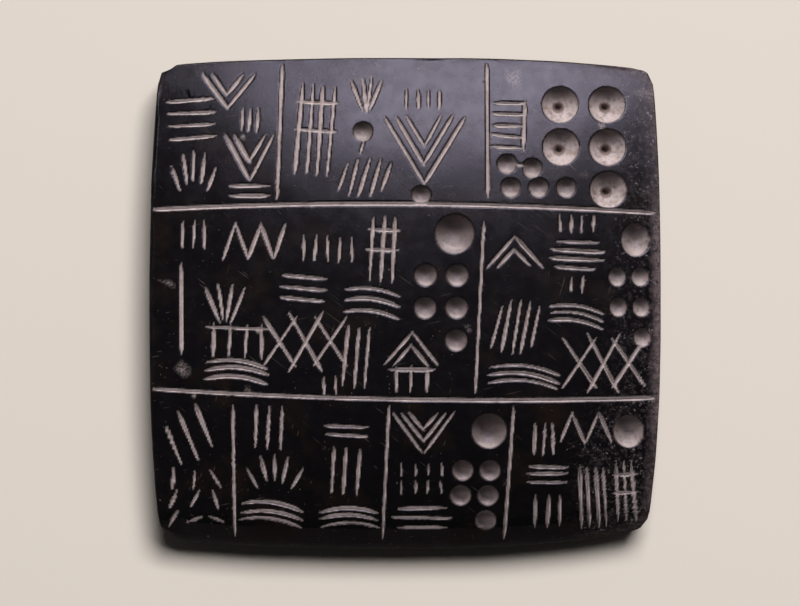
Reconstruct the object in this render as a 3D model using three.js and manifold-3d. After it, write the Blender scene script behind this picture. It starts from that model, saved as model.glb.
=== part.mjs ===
// A small tablet of black polished stone, ruled into three registers, with drilled number marks
// and rows of shallow cut strokes. It lies on its back, inscribed face up.
// Millimetres, +X along the width, +Y towards the top edge, +Z up out of the inscribed face.
// The origin is under the middle of the tablet, on the flat it rests on.
import * as THREE from "three";
import { mergeVertices } from "three/addons/utils/BufferGeometryUtils.js";
import Module from "manifold-3d";

const wasm = await Module();
wasm.setup();

// Driving sizes.
const halfWidth = 50;
const halfHeight = 48.2;
const thickness = 24;
const midLevel = 11; // height of the widest contour, where front and back meet

// How far each half of a side falls back by the time it reaches its corner.
const sideFall = {
  top: { left: 1.5, right: 2.3 },
  bottom: { left: 2.0, right: 3.9 },
  left: { up: 2.1, down: 1.4 },
  right: { up: 1.8, down: 3.1 },
};
const fallPower = 2.5;
const cornerPower = 36; // sharpness of the four corners in plan

// How late the faces turn down into the edge: crisply, but roundly where fade brings in the bottom side.
const rimPower = { crisp: 150, bottom: 30, fade: 3 };

// Crown of the inscribed face, and the gentler rise of the back around its flat.
const crown = { across: 3.0, along: 5.0, shared: 2.0, power: 2.4 };
const back = { flat: 0.62, rise: 2.6, squareness: 4 };

// Shape of the cuts.
const stroke = { width: 0.85, depth: 0.45, taper: 1.8 };
const ruling = { width: 0.9, depth: 0.45, taper: 0.8, step: 9 };
const taperShare = 0.3; // the most of a short stroke that one of its tapered ends takes
const cutRise = 0.8; // how far a cutter stands clear of the face
const maxBulge = 0.35; // a cutter bends where the face bulges further than this over it
const handWobble = 0.22; // how far a hand-cut end strays

// Facets of the slab, drawn closer together towards its rim.
const facets = { across: 8, edge: 5 };
const rimTurn = THREE.MathUtils.degToRad(80); // part of the edge's roll that the side facets take
const rimCrowding = 1.2;

// Half extent of the outline to one side, at a place along that side.
function reach(half, along, negativeFall, positiveFall) {
  const fall = along < 0 ? negativeFall : positiveFall;
  return half - fall * Math.abs(along / halfHeight) ** fallPower;
}

// 0 in the middle of the tablet and 1 on its outline.
function outlineShare(x, y) {
  const side = x < 0 ? sideFall.left : sideFall.right;
  const end = y < 0 ? sideFall.bottom : sideFall.top;
  const across = Math.abs(x) / reach(halfWidth, y, side.down, side.up);
  const along = Math.abs(y) / reach(halfHeight, x, end.left, end.right);
  return (across ** cornerPower + along ** cornerPower) ** (1 / cornerPower);
}

// The point on the ray towards (dx, dy) with the given share of the way to the outline.
function pointAtShare(dx, dy, share) {
  const p = new THREE.Vector2(dx * halfWidth, dy * halfHeight).multiplyScalar(share);
  for (let i = 0; i < 6; i += 1) {
    const now = outlineShare(p.x, p.y);
    if (now > 0) p.multiplyScalar(share / now);
  }
  return p;
}

function crownLevel(x, y) {
  const across = Math.abs(x / halfWidth) ** crown.power;
  const along = Math.abs(y / halfHeight) ** crown.power;
  return thickness - crown.across * across - crown.along * along + crown.shared * across * along;
}

function backLevel(x, y) {
  const q = back.squareness;
  const share = (Math.abs(x / halfWidth) ** q + Math.abs(y / halfHeight) ** q) ** (1 / q);
  return back.rise * Math.max(0, (share - back.flat) / (1 - back.flat)) ** 2;
}

function rimPowerAt(y) {
  const nearBottom = Math.max(0, -y / halfHeight) ** rimPower.fade;
  return rimPower.crisp * (rimPower.bottom / rimPower.crisp) ** nearBottom;
}

// Height of the inscribed face, with the roll of its rim.
function faceLevel(x, y) {
  const share = Math.min(1, outlineShare(x, y));
  return midLevel + (crownLevel(x, y) - midLevel) * Math.sqrt(1 - share ** rimPowerAt(y));
}

function faceNormal(x, y) {
  const h = 0.05;
  const dx = (faceLevel(x + h, y) - faceLevel(x - h, y)) / (2 * h);
  const dy = (faceLevel(x, y + h) - faceLevel(x, y - h)) / (2 * h);
  return new THREE.Vector3(-dx, -dy, 1).normalize();
}

function facePoint(x, y) {
  return new THREE.Vector3(x, y, faceLevel(x, y));
}

// Spreads even steps from -1 to 1 so that they shorten towards both ends.
function crowded(t) {
  return Math.sin(t * rimCrowding) / Math.sin(rimCrowding);
}

// Moves every vertex of a geometry by a function of its place and its uv.
function reshape(geometry, move) {
  const { position, uv } = geometry.attributes;
  for (let i = 0; i < position.count; i += 1) {
    const at = new THREE.Vector3().fromBufferAttribute(position, i);
    const to = move(at, uv.getX(i), uv.getY(i));
    position.setXYZ(i, to.x, to.y, to.z);
  }
  return geometry;
}

// A closed geometry as a solid that can be cut.
function toSolid(geometry) {
  const bare = new THREE.BufferGeometry();
  bare.setAttribute("position", geometry.attributes.position);
  bare.setIndex(geometry.index);
  const merged = mergeVertices(bare, 1e-4);
  const triVerts = new Uint32Array(merged.index.array);
  const vertProperties = merged.attributes.position.array;
  return new wasm.Manifold(new wasm.Mesh({ numProp: 3, vertProperties, triVerts }));
}

// The uncut slab: a faceted block drawn out to the crowned face, rolled edge and back.
function slab() {
  const block = new THREE.BoxGeometry(2, 2, 2, facets.across, facets.across, facets.edge);
  const rimShare = (turn, power) => Math.cos(turn) ** (2 / power);
  return reshape(block, (corner) => {
    const p = new THREE.Vector2(crowded(corner.x), crowded(corner.y));
    const ring = Math.max(Math.abs(p.x), Math.abs(p.y));
    const onEdge = ring >= 1;
    const turn = corner.z * rimTurn;
    const power = rimPowerAt(p.y * halfHeight);
    const share = onEdge ? rimShare(turn, power) : rimShare(rimTurn, power) * ring;
    const rise = onEdge ? Math.sin(turn) : Math.sign(corner.z) * Math.sqrt(1 - share ** power);
    const widest = rimShare(rimTurn / facets.edge, power);
    const plan = ring > 0 ? pointAtShare(p.x / ring, p.y / ring, share / widest) : p;
    const level = rise > 0 ? crownLevel(plan.x, plan.y) : backLevel(plan.x, plan.y);
    const z = midLevel + Math.abs(rise) * (level - midLevel);
    return new THREE.Vector3(plan.x, plan.y, Math.max(z, 0));
  });
}

// How far the face bulges over a straight line between two of its points.
function bulge(from, to) {
  const middle = new THREE.Vector2().addVectors(from, to).multiplyScalar(0.5);
  const chord = facePoint(from.x, from.y).add(facePoint(to.x, to.y)).multiplyScalar(0.5);
  return facePoint(middle.x, middle.y).distanceTo(chord);
}

// A V-shaped cutter that follows places on the face, pointed at both ends.
function groove(places, { width, depth, taper }) {
  const flare = (depth + cutRise) / depth;
  const count = places.length;
  const direction = places.map((p, i) => {
    const from = places[Math.max(0, i - 1)];
    const to = places[Math.min(count - 1, i + 1)];
    return facePoint(to.x, to.y).sub(facePoint(from.x, from.y)).normalize();
  });
  // Three sides round the keel: the keel itself and the two lips, held above the face.
  const sides = [{ lip: -1 }, { lip: 1 }, { lip: 0 }];
  const rings = count + 1;
  return reshape(new THREE.SphereGeometry(1, sides.length, rings), (at, u, v) => {
    const station = Math.round((1 - v) * rings);
    const i = THREE.MathUtils.clamp(station - 1, 0, count - 1);
    const normal = faceNormal(places[i].x, places[i].y);
    const base = facePoint(places[i].x, places[i].y);
    if (station === 0 || station === rings) {
      const outward = (station === 0 ? -1 : 1) * taper * flare;
      return base.addScaledVector(direction[i], outward).addScaledVector(normal, cutRise);
    }
    const { lip } = sides[Math.round(u * sides.length) % sides.length];
    if (lip === 0) return base.addScaledVector(normal, -depth);
    const across = new THREE.Vector3().crossVectors(normal, direction[i]);
    return base.addScaledVector(across, (lip * flare * width) / 2).addScaledVector(normal, cutRise);
  });
}

// Places along a line or a bowed line. The bow is the rise of its middle, to the left of its way.
function along(from, to, bow, pieces) {
  const side = new THREE.Vector2(from.y - to.y, to.x - from.x).normalize();
  return Array.from({ length: pieces + 1 }, (_, i) => {
    const t = (1 + crowded((2 * i) / pieces - 1)) / 2;
    return new THREE.Vector2().lerpVectors(from, to, t).addScaledVector(side, 4 * bow * t * (1 - t));
  });
}

// A drilled mark: the lower part of an ellipsoid, whose middle stands above the face.
const lift = 1.4; // height of that middle, as a share of the depth
const bowl = { sides: 12, rings: 8 };
const smallBowl = { sides: 8, rings: 6 };
function drilled(x, y, radius, depth, narrow, { sides, rings }) {
  const widening = 1 / Math.sqrt(1 - (lift / (1 + lift)) ** 2);
  const ball = new THREE.SphereGeometry(1, sides, rings);
  ball.rotateX(Math.PI / 2);
  ball.scale(radius * narrow * widening, radius * widening, depth * (1 + lift));
  const up = new THREE.Vector3(0, 0, 1);
  const turn = new THREE.Quaternion().setFromUnitVectors(up, faceNormal(x, y));
  const centre = facePoint(x, y).addScaledVector(faceNormal(x, y), lift * depth);
  return ball.applyMatrix4(new THREE.Matrix4().compose(centre, turn, new THREE.Vector3(1, 1, 1)));
}

// A repeatable number from -1 to 1, a new one at each call: the unsteadiness of the hand.
let draws = 0;
function wobble() {
  draws += 1;
  const s = Math.sin(draws * 12.9898) * 43758.5453;
  return (s - Math.floor(s)) * 2 - 1;
}

// Stroke groups. Each motif returns lines in a box one unit wide and high: [x1, y1, x2, y2, bow].
const spread = (n, draw) => Array.from({ length: n }, (_, i) => draw((i + 0.5) / n - 0.5, i)).flat();
const lens = (t) => 0.5 * Math.sqrt(1 - (1.7 * t) ** 2);
const motifs = {
  uprights: (n) => spread(n, (t) => [[t, 0.5, t, -0.5, 0]]),
  levels: (n) => spread(n, (t) => [[-0.5, t, 0.5, t, 0]]),
  lensLevels: (n) => spread(n, (t) => [[-lens(t), t, lens(t), t, 0]]),
  slants: (n) => spread(n, (t) => [[t + 0.1, lens(t), t - 0.1, -lens(t), 0]]),
  crossed: (n) =>
    spread(n, (t) => [
      [t - 0.22, lens(t), t + 0.22, -lens(t), 0],
      [t + 0.22, lens(t), t - 0.22, -lens(t), 0],
    ]),
  bows: (n) => spread(n, (t) => [[-0.5, t, 0.5, t - 0.12, 0.09]]),
  chevrons: (n) =>
    spread(n, (t, i) => {
      const size = 0.5 * (1 - i / (n + 0.6));
      return [
        [-size, 0.5, 0, 0.5 - 2 * size, 0],
        [size, 0.5, 0, 0.5 - 2 * size, 0],
      ];
    }),
  fan: (n) => spread(n, (t) => [[1.1 * t, 0.5 - 0.6 * t * t, 0.25 * t, -0.5, 0]]),
  rays: (n) => spread(n, (t) => [[t, 0.5 - 2 * t * t, 0.6 * t, -0.1 - 1.4 * t * t, 0]]),
  comb: (n) => [...motifs.uprights(n), [-0.5, 0.36, 0.5, 0.36, 0]],
  lattice: (n) => [...motifs.uprights(n), [-0.5, 0.3, 0.5, 0.3, 0], [-0.5, 0, 0.5, 0, 0]],
  zigzag: (n) =>
    spread(n, (t, i) => {
      const start = i % 2 ? 0.5 : -0.5;
      return [[t - 0.5 / n, start, t + 0.5 / n, -start, 0]];
    }),
  ticks: (n) =>
    spread(2, (row) => spread(n, (t) => [[t, row + 0.17, t, row - 0.17, 0]])),
  strewn: (n) =>
    spread(3, (row) =>
      spread(n, (t) => {
        const angle = Math.PI * (0.5 + 0.45 * wobble());
        const [dx, dy] = [0.13 * Math.cos(angle), 0.17 * Math.sin(angle)];
        return [[t + dx, row + dy, t - dx, row - dy, 0]];
      }),
    ),
};

// Where each group stands: motif, count, middle x, middle y, width, height, turn in degrees.
const groups = [
  // top register
  ["levels", 4, -41.6, 36.0, 9.4, 9.4, 4],
  ["rays", 5, -41.0, 25.0, 10.8, 9.8, 0],
  ["chevrons", 2, -34.5, 41.4, 10.3, 6.9, 0],
  ["uprights", 3, -30.1, 35.9, 4.9, 4.4, -4],
  ["chevrons", 2, -30.1, 28.6, 9.4, 8.9, 0],
  ["levels", 2, -30.1, 22.1, 7.9, 3.5, 0],
  ["lattice", 4, -17.5, 33.9, 8.4, 17.7, -4],
  ["fan", 4, -7.5, 40.8, 6.9, 6.9, 0],
  ["slants", 5, -7.9, 24.6, 10.3, 7.4, 0],
  ["uprights", 4, 3.5, 39.8, 8.4, 4.1, 0],
  ["chevrons", 3, 3.7, 29.9, 15.8, 13.3, 0],
  ["levels", 5, 20.1, 34.7, 6.4, 10.8, -3],
  // middle register
  ["uprights", 3, -41.0, 13.4, 6.4, 5.4, 0],
  ["uprights", 1, -43.5, -0.8, 2.0, 17.7, 0],
  ["zigzag", 5, -29.2, 12.2, 12.3, 6.9, 0],
  ["uprights", 5, -15.0, 10.6, 11.8, 4.9, -3],
  ["lattice", 3, -4.3, 10.6, 6.4, 12.8, -3],
  ["fan", 4, -34.9, 0.2, 9.8, 7.4, 0],
  ["comb", 4, -32.5, -7.1, 12.3, 6.4, -2],
  ["levels", 3, -19.7, 3.0, 8.9, 6.4, -5],
  ["bows", 3, -6.5, 0.4, 10.8, 6.4, -4],
  ["crossed", 3, -19.3, -7.3, 14.8, 11.8, 0],
  ["uprights", 3, -9.5, -10.4, 6.4, 11.8, -5],
  ["uprights", 2, -14.6, -15.8, 3.9, 3.7, 0],
  ["chevrons", 2, 1.2, -8.7, 10.8, 6.4, 180],
  ["comb", 3, 1.2, -14.6, 8.9, 5.4, 0],
  ["bows", 3, -32.7, -13.2, 12.3, 4.5, -2],
  ["chevrons", 2, 21.3, 10.0, 10.8, 5.9, 180],
  ["uprights", 4, 33.3, 15.6, 8.4, 3.3, 0],
  ["lensLevels", 4, 33.3, 9.5, 10.8, 6.9, -3],
  ["uprights", 2, 33.3, 3.7, 4.4, 3.2, 0],
  ["slants", 5, 21.5, -4.5, 9.4, 10.8, 0],
  ["bows", 3, 33.3, -2.4, 10.8, 4.5, -6],
  ["bows", 3, 23.0, -14.2, 13.8, 4.5, -4],
  ["crossed", 3, 38.6, -11.4, 14.3, 11.8, 0],
  // bottom register
  ["slants", 3, -42.0, -25.6, 10.8, 10.3, 35],
  ["strewn", 3, -41.0, -38.0, 12.3, 11.8, 0],
  ["uprights", 3, -26.4, -23.8, 7.4, 8.4, -2],
  ["rays", 5, -25.4, -33.3, 13.8, 8.4, 0],
  ["bows", 3, -26.0, -41.0, 12.3, 4.9, -5],
  ["levels", 2, -11.4, -24.6, 8.4, 3.9, -3],
  ["uprights", 3, -11.6, -32.5, 7.4, 8.9, -3],
  ["bows", 3, -10.8, -41.8, 11.3, 4.5, 2],
  ["chevrons", 3, 3.5, -25.0, 11.8, 7.9, 0],
  ["ticks", 4, 3.2, -33.9, 10.3, 6.9, 0],
  ["lensLevels", 3, 3.3, -41.6, 11.8, 5.9, 0],
  ["uprights", 3, 27.0, -26.2, 5.4, 6.4, 0],
  ["zigzag", 4, 35.1, -24.0, 10.3, 5.9, 0],
  ["levels", 3, 27.8, -33.1, 7.9, 4.5, 0],
  ["uprights", 3, 27.8, -40.4, 6.9, 6.4, 0],
  ["uprights", 4, 36.6, -37.8, 6.4, 11.8, 3],
  ["lattice", 3, 42.9, -36.6, 5.0, 11.8, 4],
  // strokes that close or join a group
  ["uprights", 1, 23.1, 34.6, 1.0, 9.6, -1],
  ["uprights", 1, -8.4, 30.4, 1.0, 3.0, -20],
  ["levels", 1, 22.2, 27.1, 2.8, 1.0, -9],
];

// Ruled lines: x1, y1, x2, y2, bow.
const rulings = [
  [-48.2, 18.4, 48.2, 17.7, 1.4],
  [-48.2, -16.5, 48.2, -18.2, -1.1],
  [-23.9, 46.4, -24.8, 20.3, 0],
  [15.9, 46.6, 16.1, 20.7, 0],
  [15.3, 16.0, 13.6, -17.3, 0],
  [-33.4, -19.5, -33.2, -44.4, 0],
  [-3.1, -19.7, -4.4, -45.0, 0],
  [21.1, -19.7, 19.3, -44.8, 0],
];

// Rows of drilled marks, set out from the right-hand mark of the top row:
// x, y, pitch across, pitch down, radius, marks in each row, lean of the rows, narrowing, pit in the bowl.
const markRows = [
  { x: 39.3, y: 38.8, dx: 9.1, dy: 8.3, radius: 3.6, rows: [2, 2, 1], lean: 0.1, pit: true },
  { x: 24.7, y: 26.4, dx: 0, dy: 0, radius: 1.95, rows: [1], lean: 0 },
  { x: 19.8, y: 27.2, dx: 0, dy: 0, radius: 1.95, rows: [1], lean: 0 },
  { x: 31.3, y: 22.6, dx: 5.4, dy: 4.2, radius: 1.95, rows: [3], lean: 0 },
  { x: -8.2, y: 33.5, dx: 0, dy: 0, radius: 1.95, rows: [1], lean: 0 },
  { x: 3.1, y: 21.1, dx: 0, dy: 0, radius: 1.9, rows: [1], lean: 0 },
  { x: 9.6, y: 13.6, dx: 0, dy: 0, radius: 3.85, rows: [1], lean: 0 },
  { x: 10.1, y: 5.6, dx: 6.1, dy: 6.3, radius: 2.2, rows: [2, 2, 1], lean: -0.1 },
  { x: 44.8, y: 12.5, dx: 0, dy: 0, radius: 3.3, rows: [1], lean: 0, narrow: 0.85 },
  { x: 45.7, y: 5.3, dx: 4.5, dy: 5.9, radius: 1.9, rows: [2, 2, 1], lean: 0.2, narrow: 0.9 },
  { x: 16.3, y: -24.6, dx: 0, dy: 0, radius: 3.5, rows: [1], lean: 0 },
  { x: 16.5, y: -32.3, dx: 5.3, dy: 4.9, radius: 2.1, rows: [2, 2, 1], lean: -0.4 },
  { x: 43.5, y: -24.7, dx: 0, dy: 0, radius: 3.3, rows: [1], lean: 0, narrow: 0.92 },
];
const bigMark = 3; // a mark of at least this radius is drilled as a wide bowl
const markDepth = 0.42; // depth of a mark as a share of its radius
const pit = { radius: 1.25, depth: 2.5, aside: -0.3 };

// Chips knocked off the two left-hand corners: x, y, z of the blow, its reach across, along and up.
const chips = [
  { at: [-48.3, 47.3, 15], size: [3.8, 2.3, 12] },
  { at: [-49.3, -47.2, 13], size: [3.6, 3.6, 14] },
];

function strokeCuts() {
  return groups.flatMap(([motif, count, x, y, width, height, degrees]) => {
    const turn = THREE.MathUtils.degToRad(degrees);
    const middle = new THREE.Vector2(x, y);
    const place = (px, py) =>
      new THREE.Vector2(px * width + handWobble * wobble(), py * height + handWobble * wobble())
        .rotateAround(new THREE.Vector2(), turn)
        .add(middle);
    return motifs[motif](count).map(([x1, y1, x2, y2, bow]) => {
      const from = place(x1, y1);
      const to = place(x2, y2);
      const inset = Math.min(stroke.taper, from.distanceTo(to) * taperShare);
      const way = to.clone().sub(from).normalize().multiplyScalar(inset);
      from.add(way);
      to.sub(way);
      const pieces = bow || bulge(from, to) > maxBulge ? 2 : 1;
      const places = along(from, to, bow * width, pieces);
      return groove(places, { ...stroke, taper: inset });
    });
  });
}

function rulingCuts() {
  return rulings.map(([x1, y1, x2, y2, bow]) => {
    const from = new THREE.Vector2(x1, y1);
    const to = new THREE.Vector2(x2, y2);
    const pieces = Math.ceil(from.distanceTo(to) / ruling.step);
    return groove(along(from, to, bow, pieces), ruling);
  });
}

function markCuts() {
  return markRows.flatMap(({ x, y, dx, dy, radius, rows, lean, narrow = 1, pit: pitted }) =>
    rows.flatMap((count, row) =>
      Array.from({ length: count }, (_, i) => {
        const [mx, my] = [x - i * dx + row * lean, y - row * dy];
        const shape = radius >= bigMark ? bowl : smallBowl;
        const cuts = [drilled(mx, my, radius, radius * markDepth, narrow, shape)];
        if (pitted) cuts.push(drilled(mx + pit.aside, my, pit.radius, pit.depth, 1, smallBowl));
        return cuts;
      }).flat(),
    ),
  );
}

function chipCuts() {
  return chips.map(({ at, size }) => new THREE.IcosahedronGeometry(1, 1).scale(...size).translate(...at));
}

function tablet() {
  const cuts = [...rulingCuts(), ...strokeCuts(), ...markCuts(), ...chipCuts()];
  const cut = cuts.reduce((solid, cutter) => solid.subtract(toSolid(cutter)), toSolid(slab()));
  const { vertProperties, triVerts } = cut.getMesh();
  const geometry = new THREE.BufferGeometry();
  geometry.setAttribute("position", new THREE.BufferAttribute(vertProperties, 3));
  geometry.setIndex(new THREE.BufferAttribute(triVerts, 1));
  geometry.computeVertexNormals();
  const blackStone = new THREE.MeshStandardMaterial({ color: "#1b1a1e", roughness: 0.42, metalness: 0 });
  const mesh = new THREE.Mesh(geometry, blackStone);
  mesh.name = "tablet";
  return mesh;
}

const part = new THREE.Group();
part.add(tablet());

export default part;
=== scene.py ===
import math

import bmesh
import bpy
import numpy as np
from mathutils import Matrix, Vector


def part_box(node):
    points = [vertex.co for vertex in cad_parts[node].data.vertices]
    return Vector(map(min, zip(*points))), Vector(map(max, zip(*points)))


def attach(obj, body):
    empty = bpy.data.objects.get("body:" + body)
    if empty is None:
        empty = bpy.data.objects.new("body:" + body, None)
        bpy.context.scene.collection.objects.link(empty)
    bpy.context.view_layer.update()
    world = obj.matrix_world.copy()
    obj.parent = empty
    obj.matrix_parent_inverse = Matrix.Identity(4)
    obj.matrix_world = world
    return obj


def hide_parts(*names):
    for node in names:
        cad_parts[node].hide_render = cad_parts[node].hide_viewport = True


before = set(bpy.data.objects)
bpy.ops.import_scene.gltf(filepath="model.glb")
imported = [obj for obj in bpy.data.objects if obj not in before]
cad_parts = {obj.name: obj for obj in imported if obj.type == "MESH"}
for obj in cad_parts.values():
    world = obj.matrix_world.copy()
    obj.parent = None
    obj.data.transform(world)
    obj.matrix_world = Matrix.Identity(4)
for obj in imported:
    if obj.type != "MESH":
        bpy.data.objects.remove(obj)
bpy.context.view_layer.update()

mm = 0.001  # everything is modelled in millimetres and scaled to metres at the end
tiny = 1e-9  # keeps a division sound
hair = 1e-6  # the same, where a vertex can lie right on a line or a middle


# shared helpers

def hexToLinear(code):  # an sRGB hex colour as linear red, green and blue with full alpha
    channels = [int(code[i:i + 2], 16) / 255 for i in (1, 3, 5)]
    linear = [c / 12.92 if c <= 0.04045 else ((c + 0.055) / 1.055) ** 2.4 for c in channels]
    return (*linear, 1.0)


def addNode(tree, kind, settings, inputs):
    node = tree.nodes.new(kind)
    for name, value in settings.items():
        setattr(node, name, value)
    for socket, value in inputs.items():
        if isinstance(value, bpy.types.NodeSocket):
            tree.links.new(value, node.inputs[socket])
        else:
            node.inputs[socket].default_value = value
    return node


def smoothStep(low, high, value):
    t = np.clip((value - low) / (high - low), 0, 1)
    return t * t * (3 - 2 * t)


def latticeValue(ix, iy, seed):  # a repeatable scatter of numbers from -1 to 1
    h = np.sin(ix * 127.1 + iy * 311.7 + seed * 74.7) * 43758.5453
    return (h - np.floor(h)) * 2 - 1


def softNoise(x, y, size, seed):  # smooth values from -1 to 1, about one bump per size
    gx, gy = x / size, y / size
    ix, iy = np.floor(gx), np.floor(gy)
    fx, fy = smoothStep(0, 1, gx - ix), smoothStep(0, 1, gy - iy)
    low = latticeValue(ix, iy, seed) * (1 - fx) + latticeValue(ix + 1, iy, seed) * fx
    high = latticeValue(ix, iy + 1, seed) * (1 - fx) + latticeValue(ix + 1, iy + 1, seed) * fx
    return low * (1 - fy) + high * fy


# the slab: crowned face, rolled edge, back with a flat it rests on

lowCorner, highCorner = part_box("tablet")
slab = {
    "halfWidth": (highCorner.x - lowCorner.x) / 2 / mm,
    "halfHeight": (highCorner.y - lowCorner.y) / 2 / mm,
    "thickness": (highCorner.z - lowCorner.z) / mm,
    "midLevel": 11,  # height of the widest contour
    # how far each half of a side falls back to its corner, the half towards -x or -y first
    "sideFall": {"top": (1.5, 2.3), "bottom": (2.0, 3.9), "left": (2.3, 2.1), "right": (3.1, 1.8)},
    "fallPower": 2.5,
    "cornerPower": 36,
    "rimPower": 600,  # how late the face turns down into the edge
    "bottomRoll": {"start": 0.86, "drop": 6.5, "power": 3},  # of the face to the bottom side
    "crownAcross": 3.0, "crownAlong": 5.0, "crownShared": 2.0, "crownPower": 2.4,
    "backFlat": 0.62, "backRise": 2.6, "backSquareness": 4,
    "cellsAcross": 49, "cellsOnEdge": 18, "rimTurn": math.radians(87),
    "onBorder": 0.9999,  # a coordinate of the cube beyond this is on its border
    "lastRow": 0.985,  # where the last row of vertices before an arris stands
    "fittingRounds": 8,  # to bring a vertex onto its own contour
    "polishedTurn": math.radians(76),  # the polish of the face runs down the rim to this turn
    "polishedRoll": 0.42,  # and down the bottom's roll to this share of it
    # centre and radii of what was struck off
    "chips": [((-48.3, 47.3, 15), (3.8, 2.3, 12)), ((-48.4, -47.1, 13), (3.6, 3.6, 14))],
    "nicks": [((-49.7, 38.6, 18), (0.9, 0.8, 3)), ((-50.1, -33.4, 17), (1.1, 0.7, 3))],
    # pale bruises on the face: x, y, radius
    "bruises": [
        (-43.5, -12.2, 1.6), (20.9, 43.0, 1.0), (34.5, 25.2, 0.8), (38.2, 34.7, 0.9),
        (47.8, 43.6, 1.3), (48.0, 41.4, 1.2), (-31.5, 32.5, 0.7), (12.5, -5.0, 0.7),
        (41.5, 30.5, 0.8), (-41.0, -17.9, 0.6), (-30.5, -17.2, 1.0), (-28.3, -5.1, 0.9),
        (-43.8, 42.7, 0.5), (-45.2, 3.7, 0.7)],
    "undulation": 0.07,  # how far hand polishing left the surface from true
    "broadWave": 14, "fineWave": 6, "fineShare": 0.5,  # mm from bump to bump
    "faceShift": 40,  # mm, so that the waves of the face aren't those of the back
    "flatBelow": 0.05,  # what lies on the ground stays flat
}


def reach(half, along, negativeFall, positiveFall):
    fall = np.where(along < 0, negativeFall, positiveFall)
    return half - fall * np.abs(along / slab["halfHeight"]) ** slab["fallPower"]


def outlineShare(x, y):
    falls = slab["sideFall"]
    sideDown, sideUp = (np.where(x < 0, falls["left"][i], falls["right"][i]) for i in (0, 1))
    endLeft, endRight = (np.where(y < 0, falls["bottom"][i], falls["top"][i]) for i in (0, 1))
    across = np.abs(x) / reach(slab["halfWidth"], y, sideDown, sideUp)
    along = np.abs(y) / reach(slab["halfHeight"], x, endLeft, endRight)
    n = slab["cornerPower"]
    return (across ** n + along ** n) ** (1 / n)


def bottomRolled(x, y):  # 0 where the face starts to roll down and 1 on the bottom outline
    start = slab["bottomRoll"]["start"]
    towardsBottom = -y / reach(slab["halfHeight"], x, *slab["sideFall"]["bottom"])
    return np.clip((towardsBottom - start) / (1 - start), 0, 1)


def keepArrisTight(t, cells):  # moves the row of vertices next to a border close up to it
    nextToBorder = (np.abs(t) > 1 - 3 / cells) & (np.abs(t) < slab["onBorder"])
    return np.where(nextToBorder, np.sign(t) * slab["lastRow"], t)


def shapeSlab(p):  # maps the vertices of a cube from -1 to 1 onto the tablet
    plan = keepArrisTight(p[:, :2], slab["cellsAcross"])
    p = np.column_stack([plan, keepArrisTight(p[:, 2], slab["cellsOnEdge"])])
    ring = np.abs(p[:, :2]).max(axis=1)
    onEdge = ring > slab["onBorder"]
    power = slab["rimPower"]
    turn = slab["rimTurn"] * p[:, 2]
    share = np.where(onEdge, np.cos(turn), math.cos(slab["rimTurn"])) ** (2 / power) * ring
    rise = np.where(onEdge, np.sin(turn), np.sign(p[:, 2]) * np.sqrt(1 - share ** power))
    ray = p[:, :2] / np.maximum(ring, tiny)[:, None]
    x, y = ray[:, 0] * slab["halfWidth"] * share, ray[:, 1] * slab["halfHeight"] * share
    for _ in range(slab["fittingRounds"]):
        now = np.maximum(outlineShare(x, y), tiny)
        x, y = x * share / now, y * share / now
    u, v = np.abs(x / slab["halfWidth"]), np.abs(y / slab["halfHeight"])
    across, along = u ** slab["crownPower"], v ** slab["crownPower"]
    crown = slab["crownAcross"] * across + slab["crownAlong"] * along
    face = slab["thickness"] - crown + slab["crownShared"] * across * along
    face -= slab["bottomRoll"]["drop"] * bottomRolled(x, y) ** slab["bottomRoll"]["power"]
    q = slab["backSquareness"]
    backShare = ((u ** q + v ** q) ** (1 / q) - slab["backFlat"]) / (1 - slab["backFlat"])
    back = slab["backRise"] * np.maximum(0, backShare) ** 2
    level = np.where(rise > 0, face, back)
    z = slab["midLevel"] + np.abs(rise) * (level - slab["midLevel"])
    return np.stack([x, y, np.maximum(z, 0)], axis=1)


# the inscription: the same rows of strokes, ruled lines and drilled marks as the solid

inscription = {
    "strokeWidth": 0.66, "strokeDepth": 0.36, "strokeTaper": 1.9, "strokeVariation": 1,
    "rulingWidth": {"across": 0.78, "upright": 0.64}, "rulingDepth": 0.36, "rulingTaper": 1.5,
    "rulingVariation": 0.35,
    "strokePieces": 8, "rulingPieces": 16,  # straight pieces in a bowed line
    "roundness": 2,  # of the bottom of a stroke
    "endPower": 0.6, "endBreadth": 0.3,  # how a line draws in to its ends
    # how the hand's pressure varies: from line to line, along a line, and every few mm
    "weight": 0.22, "lean": 0.3, "unsteady": 0.14, "unsteadyEvery": 3.5,
    "ragged": 0.03,  # how far a lip strays from a clean line
    "ragSizes": ((0.55, 0.6, 1), (0.28, 0.4, 2)),  # mm, share and seed
    "handWobble": 0.22,
    "gather": 0.18,  # mm, how far off a line draws vertices to itself
    "crushedLip": (-0.05, 0.25), "crushedEnd": 0.4,  # where the pale stone in a line sets in
    "markDepth": 0.42,  # of its radius
    "bowlLift": 1.4,  # how much flatter than half a ball
    "bowlRagged": 0.05, "bowlInset": 0.07, "bowlLip": (0.1, -0.15),
    "bowlPaleness": (0.58, 0.2), "palerFrom": (38, 44),  # more to the right-hand side
    "paintedShadeSpan": (-0.1, 0.95), "paintedShadeAmount": 0.6,  # painted shade: a bowl's pale colour thins up its upper wall, the side turned from the light
    "pitRadius": 1.3, "pitDepth": 2.3, "pitOffset": 0.3,
}
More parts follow.
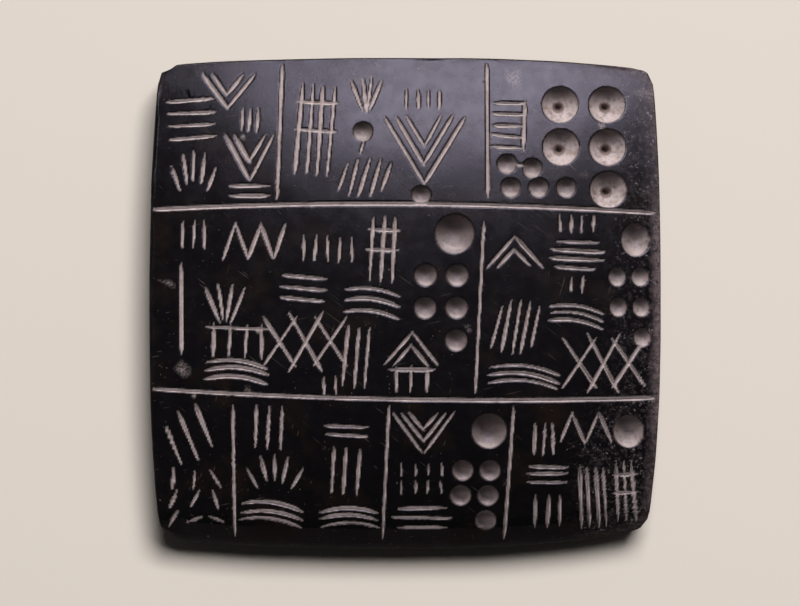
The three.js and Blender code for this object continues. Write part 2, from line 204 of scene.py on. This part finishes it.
groups = [
    # motif, count, middle x, middle y, width, height, turn: top register
    ("levels", 4, -41.6, 36.0, 9.4, 9.4, 4),
    ("rays", 5, -41.0, 25.0, 10.8, 9.8, 0),
    ("chevrons", 2, -34.5, 41.4, 10.3, 6.9, 0),
    ("uprights", 3, -30.1, 35.9, 4.9, 4.4, -4),
    ("chevrons", 2, -30.1, 28.6, 9.4, 8.9, 0),
    ("levels", 2, -30.1, 22.1, 7.9, 3.5, 0),
    ("lattice", 4, -17.5, 33.9, 8.4, 17.7, -4),
    ("fan", 4, -7.5, 40.8, 6.9, 6.9, 0),
    ("slants", 5, -7.9, 24.6, 10.3, 7.4, 0),
    ("uprights", 4, 3.5, 39.8, 8.4, 4.1, 0),
    ("chevrons", 3, 3.7, 29.9, 15.8, 13.3, 0),
    ("levels", 5, 20.1, 34.7, 6.4, 10.8, -3),
    # middle register
    ("uprights", 3, -41.0, 13.4, 6.4, 5.4, 0),
    ("uprights", 1, -43.5, -0.8, 2.0, 17.7, 0),
    ("zigzag", 5, -29.2, 12.2, 12.3, 6.9, 0),
    ("uprights", 5, -15.0, 10.6, 11.8, 4.9, -3),
    ("lattice", 3, -4.3, 10.6, 6.4, 12.8, -3),
    ("fan", 4, -34.9, 0.2, 9.8, 7.4, 0),
    ("comb", 4, -32.5, -7.1, 12.3, 6.4, -2),
    ("levels", 3, -19.7, 3.0, 8.9, 6.4, -5),
    ("bows", 3, -6.5, 0.4, 10.8, 6.4, -4),
    ("crossed", 3, -19.3, -7.3, 14.8, 11.8, 0),
    ("uprights", 3, -9.5, -10.4, 6.4, 11.8, -5),
    ("uprights", 2, -14.6, -15.8, 3.9, 3.7, 0),
    ("chevrons", 2, 1.2, -8.7, 10.8, 6.4, 180),
    ("comb", 3, 1.2, -14.6, 8.9, 5.4, 0),
    ("bows", 3, -32.7, -13.2, 12.3, 4.5, -2),
    ("chevrons", 2, 21.3, 10.0, 10.8, 5.9, 180),
    ("uprights", 4, 33.3, 15.6, 8.4, 3.3, 0),
    ("lensLevels", 4, 33.3, 9.5, 10.8, 6.9, -3),
    ("uprights", 2, 33.3, 3.7, 4.4, 3.2, 0),
    ("slants", 5, 21.5, -4.5, 9.4, 10.8, 0),
    ("bows", 3, 33.3, -2.4, 10.8, 4.5, -6),
    ("bows", 3, 23.0, -14.2, 13.8, 4.5, -4),
    ("crossed", 3, 38.6, -11.4, 14.3, 11.8, 0),
    # bottom register
    ("slants", 3, -42.0, -25.6, 10.8, 10.3, 35),
    ("strewn", 3, -41.0, -38.0, 12.3, 11.8, 0),
    ("uprights", 3, -26.4, -23.8, 7.4, 8.4, -2),
    ("rays", 5, -25.4, -33.3, 13.8, 8.4, 0),
    ("bows", 3, -26.0, -41.0, 12.3, 4.9, -5),
    ("levels", 2, -11.4, -24.6, 8.4, 3.9, -3),
    ("uprights", 3, -11.6, -32.5, 7.4, 8.9, -3),
    ("bows", 3, -10.8, -41.8, 11.3, 4.5, 2),
    ("chevrons", 3, 3.5, -25.0, 11.8, 7.9, 0),
    ("ticks", 4, 3.2, -33.9, 10.3, 6.9, 0),
    ("lensLevels", 3, 3.3, -41.6, 11.8, 5.9, 0),
    ("uprights", 3, 27.0, -26.2, 5.4, 6.4, 0),
    ("zigzag", 4, 35.1, -24.0, 10.3, 5.9, 0),
    ("levels", 3, 27.8, -33.1, 7.9, 4.5, 0),
    ("uprights", 3, 27.8, -40.4, 6.9, 6.4, 0),
    ("uprights", 4, 36.6, -37.8, 6.4, 11.8, 3),
    ("lattice", 3, 42.9, -36.6, 5.0, 11.8, 4),
    # strokes that close or join a group
    ("uprights", 1, 23.1, 34.6, 1.0, 9.6, -1),
    ("uprights", 1, -8.4, 30.4, 1.0, 3.0, -20),
    ("levels", 1, 22.2, 27.1, 2.8, 1.0, -9),
]
rulings = [  # x1, y1, x2, y2, bow
    (-48.9, 18.4, 48.8, 17.7, 1.4),
    (-48.9, -16.5, 48.8, -18.2, -1.1),
    (-23.9, 46.9, -24.8, 20.3, 0),
    (15.9, 47.2, 16.1, 20.7, 0),
    (15.3, 16.0, 13.6, -17.3, 0),
    (-33.4, -19.5, -33.2, -45.4, 0),
    (-3.1, -19.7, -4.4, -46.0, 0),
    (21.1, -19.7, 19.3, -46.0, 0),
]
markRows = [
    # x and y of the first mark, pitch across and down, radius, marks in each row, lean, narrowing,
    # and whether a pit is in the bowl
    (39.3, 38.8, 9.1, 8.3, 3.6, (2, 2, 1), 0.1, 1, True),
    (24.7, 26.4, 0, 0, 1.95, (1,), 0, 1, False),
    (19.8, 27.2, 0, 0, 1.95, (1,), 0, 1, False),
    (31.3, 22.6, 5.4, 4.2, 1.95, (3,), 0, 1, False),
    (-8.2, 33.5, 0, 0, 1.95, (1,), 0, 1, False),
    (3.1, 21.1, 0, 0, 1.9, (1,), 0, 1, False),
    (9.6, 13.6, 0, 0, 3.85, (1,), 0, 1, False),
    (10.1, 5.6, 6.1, 6.3, 2.2, (2, 2, 1), -0.1, 1, False),
    (44.8, 12.5, 0, 0, 3.3, (1,), 0, 0.85, False),
    (45.7, 5.3, 4.5, 5.9, 1.9, (2, 2, 1), 0.2, 0.9, False),
    (16.3, -24.6, 0, 0, 3.5, (1,), 0, 1, False),
    (16.5, -32.3, 5.3, 4.9, 2.1, (2, 2, 1), -0.4, 1, False),
    (43.5, -24.7, 0, 0, 3.3, (1,), 0, 0.92, False),
]
draws = 0


def wobble():  # a repeatable number from -1 to 1, the same run of them as the solid's strokes have
    global draws
    draws += 1
    s = math.sin(draws * 12.9898) * 43758.5453
    return (s - math.floor(s)) * 2 - 1


def spread(count, draw):
    return [line for i in range(count) for line in draw((i + 0.5) / count - 0.5, i)]


def lens(t):
    return 0.5 * math.sqrt(1 - (1.7 * t) ** 2)


def chevronPair(count, i):
    size = 0.5 * (1 - i / (count + 0.6))
    return [(side * size, 0.5, 0, 0.5 - 2 * size, 0) for side in (-1, 1)]


def strewnStroke(t, row):
    angle = math.pi * (0.5 + 0.45 * wobble())
    dx, dy = 0.13 * math.cos(angle), 0.17 * math.sin(angle)
    return [(t + dx, row + dy, t - dx, row - dy, 0)]


motifs = {  # each returns lines x1, y1, x2, y2, bow in a box one unit wide and high
    "uprights": lambda n: spread(n, lambda t, i: [(t, 0.5, t, -0.5, 0)]),
    "levels": lambda n: spread(n, lambda t, i: [(-0.5, t, 0.5, t, 0)]),
    "lensLevels": lambda n: spread(n, lambda t, i: [(-lens(t), t, lens(t), t, 0)]),
    "slants": lambda n: spread(n, lambda t, i: [(t + 0.1, lens(t), t - 0.1, -lens(t), 0)]),
    "crossed": lambda n: spread(n, lambda t, i: [
        (t - 0.22, lens(t), t + 0.22, -lens(t), 0), (t + 0.22, lens(t), t - 0.22, -lens(t), 0)]),
    "bows": lambda n: spread(n, lambda t, i: [(-0.5, t, 0.5, t - 0.12, 0.09)]),
    "chevrons": lambda n: spread(n, lambda t, i: chevronPair(n, i)),
    "fan": lambda n: spread(n, lambda t, i: [(1.1 * t, 0.5 - 0.6 * t * t, 0.25 * t, -0.5, 0)]),
    "rays": lambda n: spread(n, lambda t, i: [
        (t, 0.5 - 2 * t * t, 0.6 * t, -0.1 - 1.4 * t * t, 0)]),
    "comb": lambda n: motifs["uprights"](n) + [(-0.5, 0.36, 0.5, 0.36, 0)],
    "lattice": lambda n: motifs["uprights"](n) + [(-0.5, 0.3, 0.5, 0.3, 0), (-0.5, 0, 0.5, 0, 0)],
    "zigzag": lambda n: spread(n, lambda t, i: [
        (t - 0.5 / n, 0.5 if i % 2 else -0.5, t + 0.5 / n, -0.5 if i % 2 else 0.5, 0)]),
    "ticks": lambda n: spread(2, lambda row, j: spread(n, lambda t, i: [
        (t, row + 0.17, t, row - 0.17, 0)])),
    "strewn": lambda n: spread(3, lambda row, j: spread(n, lambda t, i: strewnStroke(t, row))),
}


def bowedLine(start, end, bow, pieces):
    start, end = np.array(start, float), np.array(end, float)
    way = end - start
    side = np.array([-way[1], way[0]]) / max(np.hypot(*way), tiny)
    t = np.linspace(0, 1, pieces + 1)[:, None]
    return start + way * t + side * 4 * bow * t * (1 - t)


def inscribedLines():  # every stroke and ruling as places, width, depth, taper and variation
    lines = []
    strokeShape, rulingShape = (
        [inscription[kind + key] for key in ("Depth", "Taper", "Variation")]
        for kind in ("stroke", "ruling"))
    for motif, count, x, y, width, height, degrees in groups:
        c, s = math.cos(math.radians(degrees)), math.sin(math.radians(degrees))
        for x1, y1, x2, y2, bow in motifs[motif](count):
            ends = []
            for px, py in ((x1, y1), (x2, y2)):
                ax = px * width + inscription["handWobble"] * wobble()
                ay = py * height + inscription["handWobble"] * wobble()
                ends.append((x + ax * c - ay * s, y + ax * s + ay * c))
            places = bowedLine(*ends, bow * width, inscription["strokePieces"] if bow else 1)
            lines.append((places, inscription["strokeWidth"], *strokeShape))
    for x1, y1, x2, y2, bow in rulings:
        places = bowedLine((x1, y1), (x2, y2), bow, inscription["rulingPieces"])
        width = inscription["rulingWidth"]["across" if bow else "upright"]
        lines.append((places, width, *rulingShape))
    return lines


def drilledMarks():  # every mark as x, y, radius, narrowing and pit
    marks = []
    for x, y, dx, dy, radius, rows, lean, narrow, pit in markRows:
        for row, count in enumerate(rows):
            for i in range(count):
                marks.append((x - i * dx + row * lean, y - row * dy, radius, narrow, pit))
    return marks


lines, marks = inscribedLines(), drilledMarks()
print("inscription:", len(lines), "lines and", len(marks), "drilled marks")


def window(x, y, low, high, margin):  # which places lie between two corners, or near them
    inside = (x > low[0] - margin) & (x < high[0] + margin)
    inside &= (y > low[1] - margin) & (y < high[1] + margin)
    return np.nonzero(inside)[0]


def nearLine(x, y, places):  # distance to a line, the foot on it, how far along, and its length
    best, run, walked = np.full(len(x), np.inf), np.zeros(len(x)), 0.0
    foot = np.zeros((len(x), 2))
    for a, b in zip(places[:-1], places[1:]):
        way = b - a
        length = np.hypot(*way)
        t = np.clip(((x - a[0]) * way[0] + (y - a[1]) * way[1]) / length ** 2, 0, 1)
        near = a + t[:, None] * way
        d = np.hypot(x - near[:, 0], y - near[:, 1])
        closer = d < best
        best, run = np.where(closer, d, best), np.where(closer, walked + t * length, run)
        foot[closer] = near[closer]
        walked += length
    return best, foot, run, walked


refinement = {  # the cell sizes wanted, in mm
    "plain": 9.0, "stroke": 0.27, "bowl": 0.55, "rim": 0.3, "chip": 0.45,
    "nearCell": 0.6,  # a cut is felt this many cells away, and this many mm besides:
    "nearStroke": 0.2, "nearRim": 0.3, "nearPit": 0.5, "search": 3,
    "slack": 1.25,  # a cell this much too large is halved
    "rounds": 4,
    "above": 4,  # mm over the widest contour, where the cuts begin
}


def detailNeeded(x, y, size):  # the cell size wanted at a place, given the size of the cell there
    wanted = np.full(len(x), refinement["plain"])
    beside = size * refinement["nearCell"]
    for places, width, *_ in lines:
        pick = window(x, y, places.min(0), places.max(0), refinement["search"])
        if len(pick):
            d = nearLine(x[pick], y[pick], places)[0]
            close = d < width / 2 + refinement["nearStroke"] + beside[pick]
            wanted[pick[close]] = refinement["stroke"]
    for mx, my, radius, narrow, pit in marks:
        corners = (mx - radius, my - radius), (mx + radius, my + radius)
        pick = window(x, y, *corners, refinement["search"])
        r = np.hypot((x[pick] - mx) / narrow, y[pick] - my)
        inBowl = r < radius + beside[pick]
        atRim = np.abs(r - radius) < refinement["nearRim"] + beside[pick]
        atPit = pit & (r < inscription["pitRadius"] + refinement["nearPit"])
        for near, kind in ((inBowl, "bowl"), (atRim | atPit, "rim")):
            wanted[pick[near]] = np.minimum(wanted[pick[near]], refinement[kind])
    return wanted


def handPressure(number, run, length, taper, variation):
    # how far the ends draw in, how hard the hand pressed, and the breadth that it gives
    ends = np.clip(np.minimum(run, length - run) / taper, 0, 1) ** inscription["endPower"]
    weight = inscription["weight"] * latticeValue(number, 0, 4)
    lean = inscription["lean"] * latticeValue(number, 1, 4) * (2 * run / length - 1)
    lane = np.full(len(run), float(number))
    unsteady = inscription["unsteady"] * softNoise(run, lane, inscription["unsteadyEvery"], 3)
    pressure = (1 + variation * weight) * (1 + variation * (lean + unsteady))
    least = inscription["endBreadth"]
    return ends, pressure, (least + (1 - least) * ends) * pressure


def gatherToLines(points, normals):
    # draws vertices towards the keel and the lips of each line, so that they run true
    pull = inscription["gather"]
    for number, (places, width, _, taper, variation) in enumerate(lines):
        pick = window(points[:, 0], points[:, 1], places.min(0), places.max(0), width)
        pick = pick[points[pick, 2] > slab["midLevel"]]
        d, foot, run, length = nearLine(points[pick, 0], points[pick, 1], places)
        breadth = handPressure(number, run, length, taper, variation)[2]
        for ring in (0, width / 2 * breadth):
            off = np.clip((d - ring) / pull, -1, 1)
            drawn = np.where(np.abs(off) < 1, ring + pull * off * np.abs(off), d)
            shift = (points[pick, :2] - foot) * (drawn / np.maximum(d, hair) - 1)[:, None]
            points[pick, :2] += shift
            points[pick, 2] -= (normals[pick, :2] * shift).sum(axis=1) / normals[pick, 2]
            d = drawn


def carve(x, y):  # depth of the cuts, and masks for cut lines, drilled bowls and pits; the bowl mask carries painted shade on each bowl's upper wall
    depth, cut, bowl, pitted = (np.zeros(len(x)) for _ in range(4))
    rag = sum(softNoise(x, y, size, seed) * part for size, part, seed in inscription["ragSizes"])
    faint = inscription["crushedEnd"]
    for number, (places, width, deep, taper, variation) in enumerate(lines):
        pick = window(x, y, places.min(0), places.max(0), 2 * width)
        if not len(pick):
            continue
        d, _, run, length = nearLine(x[pick], y[pick], places)
        ends, pressure, breadth = handPressure(number, run, length, taper, variation)
        inside = 1 - (d + inscription["ragged"] * rag[pick]) / (width / 2 * breadth)
        profile = 1 - (1 - np.clip(inside, 0, 1)) ** inscription["roundness"]
        depth[pick] = np.maximum(depth[pick], deep * ends * pressure * profile)
        crushed = smoothStep(*inscription["crushedLip"], inside) * (faint + (1 - faint) * ends)
        cut[pick] = np.maximum(cut[pick], crushed)
    lift = inscription["bowlLift"]
    widening = 1 / math.sqrt(1 - (lift / (1 + lift)) ** 2)
    pitShape = [inscription[key] for key in ("pitRadius", "pitDepth")]
    least, more = inscription["bowlPaleness"]
    for mx, my, radius, narrow, pit in marks:
        pick = window(x, y, (mx - radius, my - radius), (mx + radius, my + radius), 1)
        paleness = 1 if pit else least + more * smoothStep(*inscription["palerFrom"], mx)
        hollows = [(radius, radius * inscription["markDepth"], narrow, 0, bowl, paleness)]
        if pit:
            hollows.append((*pitShape, 1, inscription["pitOffset"], pitted, 1))
        for size, deep, squeeze, offset, mask, strength in hollows:
            r = np.hypot((x[pick] - mx + offset) / squeeze, y[pick] - my + offset)
            r = r + inscription["bowlRagged"] * rag[pick] + inscription["bowlInset"]
            dome = np.sqrt(np.clip(1 - (r / (size * widening)) ** 2, 0, 1))
            hollow = np.maximum(0, deep * ((1 + lift) * dome - lift))
            depth[pick] = np.maximum(depth[pick], hollow)
            # painted shade: the bowl's pale colour fades up the upper wall, which the light beyond
            # the top edge leaves in shade
            upTheWall = smoothStep(*inscription["paintedShadeSpan"], (y[pick] - my) / size)
            palenessWithPaintedShade = strength * (1 - inscription["paintedShadeAmount"] * upTheWall)
            outer, inner = (size + step for step in inscription["bowlLip"])
            mask[pick] = np.maximum(mask[pick], palenessWithPaintedShade * smoothStep(outer, inner, r))
    return depth, cut, bowl, pitted


def buildTablet():
    bm = bmesh.new()
    bmesh.ops.create_cube(bm, size=2)
    upright = [e for e in bm.edges if abs(e.verts[0].co.z - e.verts[1].co.z) > 1]
    bmesh.ops.subdivide_edges(bm, edges=upright, cuts=slab["cellsOnEdge"] - 1, use_grid_fill=True)
    sameLevel = 1 / slab["cellsOnEdge"]
    level = [e for e in bm.edges if abs(e.verts[0].co.z - e.verts[1].co.z) < sameLevel]
    bmesh.ops.subdivide_edges(bm, edges=level, cuts=slab["cellsAcross"] - 1, use_grid_fill=True)
    turns = [slab["rimTurn"] * face.calc_center_median().z for face in bm.faces]
    shaped = shapeSlab(np.array([v.co for v in bm.verts], float))
    for v, co in zip(bm.verts, shaped):
        v.co = co
    for face, turn in zip(bm.faces, turns):  # only the inscribed face is polished
        x, y, z = face.calc_center_median()
        polished = turn > slab["polishedTurn"] and bottomRolled(x, y) < slab["polishedRoll"]
        face.material_index = 0 if polished else 1
    for step in range(refinement["rounds"]):  # halve the cells near the cuts
        faces = list(bm.faces)
        centres = np.array([f.calc_center_median() for f in faces], float)
        size = np.sqrt(np.array([f.calc_area() for f in faces]))
        wanted = np.full(len(faces), refinement["plain"])
        upper = centres[:, 2] > slab["midLevel"] + refinement["above"]
        wanted[upper] = detailNeeded(centres[upper, 0], centres[upper, 1], size[upper])
        for centre, radii in slab["chips"] + slab["nicks"]:
            offset = (centres - centre) / (np.array(radii) + size[:, None])
            nearChip = np.linalg.norm(offset, axis=1) < 1
            wanted[nearChip] = np.minimum(wanted[nearChip], refinement["chip"])
        chosen = size > wanted * refinement["slack"]
        edges = {e for f, pick in zip(faces, chosen) if pick for e in f.edges}
        if not edges:
            break
        bmesh.ops.subdivide_edges(bm, edges=list(edges), cuts=1, use_grid_fill=True)
        bm.normal_update()
        print("refined", step, len(bm.faces), "faces")
    return bm


bm = buildTablet()
bm.normal_update()
points = np.array([v.co for v in bm.verts], float)
normals = np.array([v.normal for v in bm.verts], float)
onFace = points[:, 2] > slab["midLevel"]
gatherToLines(points, normals)
depth, cut, bowl, pitted = carve(points[:, 0], points[:, 1])
for values in (depth, cut, bowl, pitted):
    values[~onFace] = 0
shifted = points[:, 0] + slab["faceShift"] * onFace
broad = softNoise(shifted, points[:, 1], slab["broadWave"], 5)
fine = softNoise(points[:, 0], points[:, 1], slab["fineWave"], 6)
rub = broad + slab["fineShare"] * fine
unevenness = slab["undulation"] * (1 + slab["fineShare"] + rub)
onFlat = points[:, 2] < slab["flatBelow"]
points -= normals * (depth + unevenness * ~onFlat)[:, None]
for centre, radii in slab["chips"] + slab["nicks"]:
    offset = (points - centre) / radii
    reachOut = np.maximum(np.linalg.norm(offset, axis=1), hair)
    struck = reachOut < 1
    points[struck] = centre + (offset / reachOut[:, None])[struck] * radii
for v, co in zip(bm.verts, points):
    v.co = co * mm
tabletMesh = bpy.data.meshes.new("carvedTablet")
bm.to_mesh(tabletMesh)
bm.free()
tabletMesh.polygons.foreach_set("use_smooth", [True] * len(tabletMesh.polygons))

wear = {  # each pair is a span over which wear sets in, in mm, or in shares for rim and bruises
    "nearFace": (12, 17),
    "rim": (0.945, 0.99), "rimStray": 0.012, "rimAcross": (25, 47),
    "rimLeast": 0.5, "rimMost": ((26, 12), (-28, -18)),  # most in the middle register
    "dustAcross": (36, 47), "dustWider": 7, "widerBelow": (-14, -26),
    "bruiseFade": (1, 0.3),
}
x, y, z = points.T
nearFace = smoothStep(*wear["nearFace"], z)
worn = smoothStep(*wear["rim"], outlineShare(x, y) + wear["rimStray"] * rub) * nearFace
worn *= smoothStep(*wear["rimAcross"], x)
above, below = (smoothStep(*span, y) for span in wear["rimMost"])
worn *= wear["rimLeast"] + (1 - wear["rimLeast"]) * above * below
wider = wear["dustWider"] * smoothStep(*wear["widerBelow"], y)
dusty = smoothStep(*wear["dustAcross"], x + wider) * nearFace
scarred = np.zeros(len(points))
for bruiseX, bruiseY, radius in slab["bruises"]:
    away = np.hypot(x - bruiseX, y - bruiseY) / radius
    scarred = np.maximum(scarred, smoothStep(*wear["bruiseFade"], away) * onFace)
masks = {
    "cut": cut, "bowl": bowl, "pitted": pitted, "worn": worn, "dusty": dusty, "scarred": scarred}
for name, values in masks.items():
    attribute = tabletMesh.attributes.new(name, "FLOAT", "POINT")
    attribute.data.foreach_set("value", values.astype(np.float32))
tabletMesh.calc_loop_triangles()
print("tablet:", len(tabletMesh.loop_triangles), "triangles")
tablet = bpy.data.objects.new("carvedTablet", tabletMesh)
bpy.context.scene.collection.objects.link(tablet)


# black stone such as steatite, with pale crushed stone in every cut

stone = {
    # size in mm, how long it is drawn out, turn in degrees, detail
    "patterns": {
        "cloud": (8, 1, 0, 3), "patch": (11, 1, 0, 2), "smear": (3, 1, 0, 3),
        "stain": (1.6, 1, 0, 3), "rub": (0.9, 1, 0, 3), "speck": (0.55, 1, 0, 1),
        "grit": (0.4, 1, 0, 3),
        "scratchA": (0.3, 22, 12, 0), "scratchB": (0.3, 18, 74, 0), "scratchC": (0.3, 20, -38, 0),
    },
    "patternRoughness": 0.6,
    # colour, strength, and the sources that must all be strong for it to show, each with the
    # values between which it sets in
    "layers": [
        ("#1c1410", 1.0, {"cloud": (0.52, 0.75)}),
        ("#8f8884", 0.7, {"speck": (0.74, 0.79), "patch": (0.45, 0.6)}),
        ("#8f8884", 0.2, {"scratchA": (0.78, 0.82), "patch": (0.52, 0.62)}),
        ("#8f8884", 0.2, {"scratchB": (0.79, 0.83), "cloud": (0.52, 0.62)}),
        ("#8f8884", 0.2, {"scratchC": (0.78, 0.82), "patch": (0.5, 0.38)}),
        ("#4a4449", 0.55, {"dusty": (0, 1), "rub": (0.5, 0.66)}),
        ("#8d8890", 0.7, {"dusty": (0.2, 0.8), "speck": (0.6, 0.7), "smear": (0.45, 0.6)}),
        ("#a39c9e", 0.8, {"scarred": (0, 1), "grit": (0.35, 0.6)}),
        ("#6e6266", 0.9, {"worn": (0.05, 1.0), "rub": (0.3, 0.58)}),
        ("#94868a", 0.7, {"worn": (0.2, 1.0), "grit": (0.56, 0.65)}),
        ("#c6bdc1", 1.0, {"cut": (0, 1), "grit": (-0.2, 0.5)}),
        ("#8f7c70", 0.8, {"cut": (0, 1), "stain": (0.5, 0.8)}),
        # the bowl mask is weaker up each bowl's upper wall, so these layers paint shade there
        ("#625a5e", 1.0, {"bowl": (0, 0.6), "grit": (-0.2, 0.5)}),
        ("#aea6a8", 1.0, {"bowl": (0.45, 1.0), "grit": (-0.2, 0.5)}),
        ("#6d5a50", 0.8, {"bowl": (0, 1), "stain": (0.48, 0.72)}),
        ("#3b3234", 0.6, {"bowl": (0, 1), "rub": (0.52, 0.68)}),
        ("#5e4f4b", 1.0, {"pitted": (0, 1)}),
    ],
    "roughened": {"cut": 0.85, "bowl": 0.55, "worn": 0.6},
    "smears": (0.35, 0.65),  # of the smear pattern, from the smoothest to the roughest
    "ior": 1.6,
    "grain": {"Strength": 0.3, "Distance": 0.04 * mm},
}
finishes = {
    # hand polish: a soft sheen
    "polishedBlackStone": {"base": "#0a090c", "roughness": (0.23, 0.29), "specular": 0.5},
    # the sides and back, left dull
    "groundBlackStone": {"base": "#19171b", "roughness": (0.8, 0.95), "specular": 0.02},
}


def blackStone(name):
    finish = finishes[name]
    material = bpy.data.materials.new(name)
    material.use_nodes = True
    tree = material.node_tree
    shader = tree.nodes["Principled BSDF"]
    place = addNode(tree, "ShaderNodeTexCoord", {}, {}).outputs["Object"]
    sources = {}
    for label, (size, length, degrees, detail) in stone["patterns"].items():
        turned = addNode(tree, "ShaderNodeMapping", {"vector_type": "TEXTURE"}, {
            "Vector": place, "Rotation": (0, 0, math.radians(degrees)), "Scale": (length, 1, 1)})
        noise = addNode(tree, "ShaderNodeTexNoise", {}, {
            "Vector": turned.outputs[0], "Scale": 1 / (size * mm), "Detail": detail,
            "Roughness": stone["patternRoughness"]})
        sources[label] = noise.outputs["Fac"]
    for label in masks:
        mask = addNode(tree, "ShaderNodeAttribute", {"attribute_name": label}, {})
        sources[label] = mask.outputs["Fac"]
    colour = hexToLinear(finish["base"])
    for code, strength, terms in stone["layers"]:
        amount = strength
        for label, (low, high) in terms.items():
            term = addNode(tree, "ShaderNodeMapRange", {}, {
                "Value": sources[label], "From Min": low, "From Max": high, "To Max": amount})
            amount = term.outputs["Result"]
        mix = addNode(tree, "ShaderNodeMix", {"data_type": "RGBA"}, {
            0: amount, 6: colour, 7: hexToLinear(code)})
        colour = mix.outputs[2]
    tree.links.new(colour, shader.inputs["Base Color"])
    smears, (smooth, roughest) = stone["smears"], finish["roughness"]
    rough = addNode(tree, "ShaderNodeMapRange", {}, {
        "Value": sources["smear"], "From Min": smears[0], "From Max": smears[1],
        "To Min": smooth, "To Max": roughest}).outputs["Result"]
    for label, value in stone["roughened"].items():
        mix = addNode(tree, "ShaderNodeMix", {}, {0: sources[label], 2: rough, 3: value})
        rough = mix.outputs[0]
    tree.links.new(rough, shader.inputs["Roughness"])
    shader.inputs["IOR"].default_value = stone["ior"]
    shader.inputs["Specular IOR Level"].default_value = finish["specular"]
    bump = addNode(tree, "ShaderNodeBump", {}, {"Height": sources["grit"], **stone["grain"]})
    tree.links.new(bump.outputs["Normal"], shader.inputs["Normal"])
    return material


for name in finishes:
    tabletMesh.materials.append(blackStone(name))
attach(tablet, "root")
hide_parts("tablet")
print("material done")


# floor, lights and camera

studio = {
    "floorColour": "#e2dcd6", "floorRoughness": 0.9,
    "floorSize": 3.0, "floorCells": 8,
    "lampCentre": 0.02,  # the lamps stand round a point this high
    "roomColour": "#f2eeea",
    "roomGlow": 0.02, "wallGlow": 0.09,  # paler towards the wall beyond the top edge
    "wallWay": (0, -0.6, 1), "glowFades": 0.45,
    "cameraLens": 180, "cameraSensor": 36,
    "viewWidth": 157.48,  # mm seen across, at the widest contour of the tablet
    "lookAt": (-0.98, 0.2),  # mm, so the tablet lies a little right of the middle
}
lamps = {  # azimuth, degrees from the zenith, distance, width, height, watts, colour
    "key": (82, 68, 1.4, 2.2, 0.2, 38, "#fff1ec"),  # a long low bar beyond the top edge
    "fill": (212, 55, 0.7, 0.3, 0.3, 2.3, "#fff4ee"),
    "sheen": (82, 29, 0.7, 0.255, 0.26, 1.32, "#e9dffa"),  # mirrored in the upper register
    "overhead": (70, 20, 1.4, 0.42, 0.42, 20.4, "#fffaf5"),
}


def plainFloor():
    fb = bmesh.new()
    cells = studio["floorCells"]
    bmesh.ops.create_grid(fb, x_segments=cells, y_segments=cells, size=studio["floorSize"] / 2)
    mesh = bpy.data.meshes.new("floor")
    fb.to_mesh(mesh)
    fb.free()
    floor = bpy.data.objects.new("floor", mesh)
    bpy.context.scene.collection.objects.link(floor)
    material = bpy.data.materials.new("mattPaper")
    material.use_nodes = True
    shader = material.node_tree.nodes["Principled BSDF"]
    shader.inputs["Base Color"].default_value = hexToLinear(studio["floorColour"])
    shader.inputs["Roughness"].default_value = studio["floorRoughness"]
    mesh.materials.append(material)
    return floor


def areaLight(name):
    azimuth, fromZenith, distance, width, height, watts, colour = lamps[name]
    light = bpy.data.lights.new(name, "AREA")
    light.shape = "RECTANGLE"
    light.size, light.size_y = width, height
    light.energy = watts
    light.color = hexToLinear(colour)[:3]
    lamp = bpy.data.objects.new(name, light)
    around, down = math.radians(azimuth), math.radians(fromZenith)
    lamp.location = (
        distance * math.sin(down) * math.cos(around),
        distance * math.sin(down) * math.sin(around),
        distance * math.cos(down) + studio["lampCentre"])
    lamp.rotation_euler = lamp.location.to_track_quat("Z", "Y").to_euler()
    bpy.context.scene.collection.objects.link(lamp)
    return lamp


floor = plainFloor()
key, fill, sheen, overhead = (areaLight(name) for name in lamps)
fill.visible_glossy = False
sheen.visible_diffuse = False
for lamp, lit in ((key, tablet), (fill, tablet), (overhead, floor)):  # each lights one thing alone
    group = bpy.data.collections.new(lamp.name + "Lights")
    group.objects.link(lit)
    lamp.light_linking.receiver_collection = group
world = bpy.data.worlds.new("room")
world.use_nodes = True
air = world.node_tree
way = addNode(air, "ShaderNodeTexCoord", {}, {}).outputs["Generated"]
toWall = addNode(air, "ShaderNodeVectorMath", {"operation": "DOT_PRODUCT"}, {
    0: way, 1: studio["wallWay"]}).outputs["Value"]
glow = addNode(air, "ShaderNodeMapRange", {}, {
    "Value": toWall, "From Max": studio["glowFades"],
    "To Min": studio["wallGlow"], "To Max": studio["roomGlow"]}).outputs["Result"]
background = air.nodes["Background"]
background.inputs["Color"].default_value = hexToLinear(studio["roomColour"])
air.links.new(glow, background.inputs["Strength"])
bpy.context.scene.world = world
print("studio done")

distance = studio["cameraLens"] / studio["cameraSensor"] * studio["viewWidth"]
lookX, lookY = studio["lookAt"]
camera = bpy.data.objects.new("camera", bpy.data.cameras.new("camera"))
camera.data.lens = studio["cameraLens"]
camera.data.sensor_width = studio["cameraSensor"]
camera.location = (lookX * mm, lookY * mm, (slab["midLevel"] + distance) * mm)
bpy.context.scene.collection.objects.link(camera)
bpy.context.scene.camera = camera
bpy.context.scene.view_settings.view_transform = "Standard"

bpy.context.view_layer.update()
